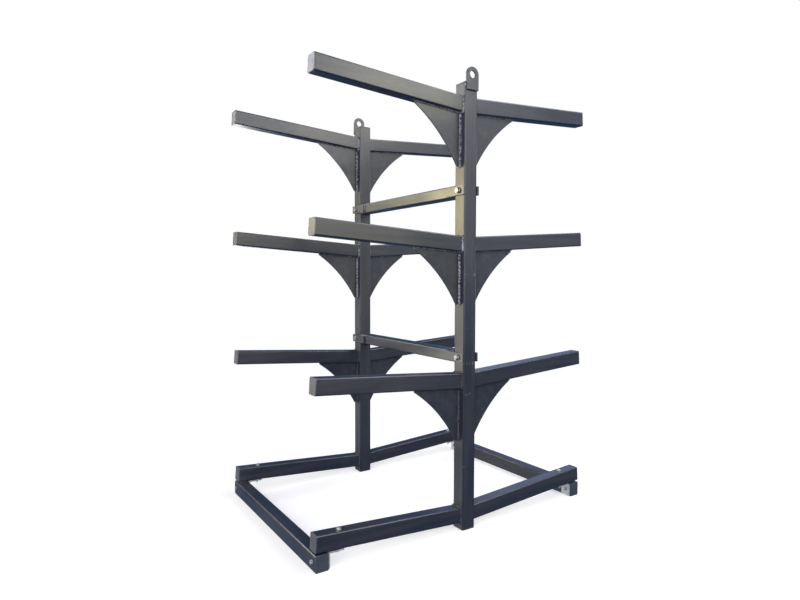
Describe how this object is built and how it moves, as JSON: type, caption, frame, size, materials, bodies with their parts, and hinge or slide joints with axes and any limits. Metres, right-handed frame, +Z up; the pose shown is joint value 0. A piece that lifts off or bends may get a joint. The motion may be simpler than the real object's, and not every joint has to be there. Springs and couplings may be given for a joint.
{
  "type": "cantilever rack",
  "caption": "Double-sided cantilever storage rack: tubular posts with rising arms, curved gussets and lifting eyes, joined by bolted braces and crossbars.",
  "frame": {"origin": "on the floor, midway between the two frames and midway between the left and right arm tips", "axes": "+X towards the right-hand arms, +Y from the front frame to the rear frame, +Z up"},
  "size_m": [1.3178, 0.886, 1.7855],
  "materials": {
    "powder_coat": "satin anthracite powder coat with fine orange peel",
    "zinc_plate": "bright zinc plate",
    "galvanised": "galvanised sheet"
  },
  "bodies": {
    "root": {"front_post": "powder_coat", "front_post_foot_plate": "powder_coat", "front_post_top_cap": "powder_coat", "front_lifting_lug": "powder_coat", "lower_brace_front_ears": "powder_coat", "upper_brace_front_ears": "powder_coat", "front_base_leg_left": "powder_coat", "front_left_angle_bracket": "galvanised", "front_arm_left_low": "powder_coat", "front_gusset_left_low": "powder_coat", "front_arm_left_middle": "powder_coat", "front_gusset_left_middle": "powder_coat", "front_arm_left_top": "powder_coat", "front_gusset_left_top": "powder_coat", "front_base_leg_right": "powder_coat", "front_right_angle_bracket": "galvanised", "front_arm_right_low": "powder_coat", "front_gusset_right_low": "powder_coat", "front_arm_right_middle": "powder_coat", "front_gusset_right_middle": "powder_coat", "front_arm_right_top": "powder_coat", "front_gusset_right_top": "powder_coat", "rear_post": "powder_coat", "rear_post_foot_plate": "powder_coat", "rear_post_top_cap": "powder_coat", "rear_lifting_lug": "powder_coat", "lower_brace_rear_ears": "powder_coat", "upper_brace_rear_ears": "powder_coat", "rear_base_leg_left": "powder_coat", "rear_left_angle_bracket": "galvanised", "rear_arm_left_low": "powder_coat", "rear_gusset_left_low": "powder_coat", "rear_arm_left_middle": "powder_coat", "rear_gusset_left_middle": "powder_coat", "rear_arm_left_top": "powder_coat", "rear_gusset_left_top": "powder_coat", "rear_base_leg_right": "powder_coat", "rear_right_angle_bracket": "galvanised", "rear_arm_right_low": "powder_coat", "rear_gusset_right_low": "powder_coat", "rear_arm_right_middle": "powder_coat", "rear_gusset_right_middle": "powder_coat", "rear_arm_right_top": "powder_coat", "rear_gusset_right_top": "powder_coat", "arm_end_caps": "powder_coat", "leg_end_caps": "powder_coat", "lower_brace": "powder_coat", "upper_brace": "powder_coat", "left_crossbar": "powder_coat", "right_crossbar": "powder_coat", "crossbar_end_caps": "powder_coat", "brace_bolts": "zinc_plate", "brace_bolt_washers": "zinc_plate", "brace_bolt_nuts": "zinc_plate", "leg_bolts": "zinc_plate", "leg_bolt_washers": "zinc_plate", "crossbar_bolts": "zinc_plate", "crossbar_bolt_washers": "zinc_plate", "crossbar_bolt_nuts": "zinc_plate"}
  },
  "joints": []
}
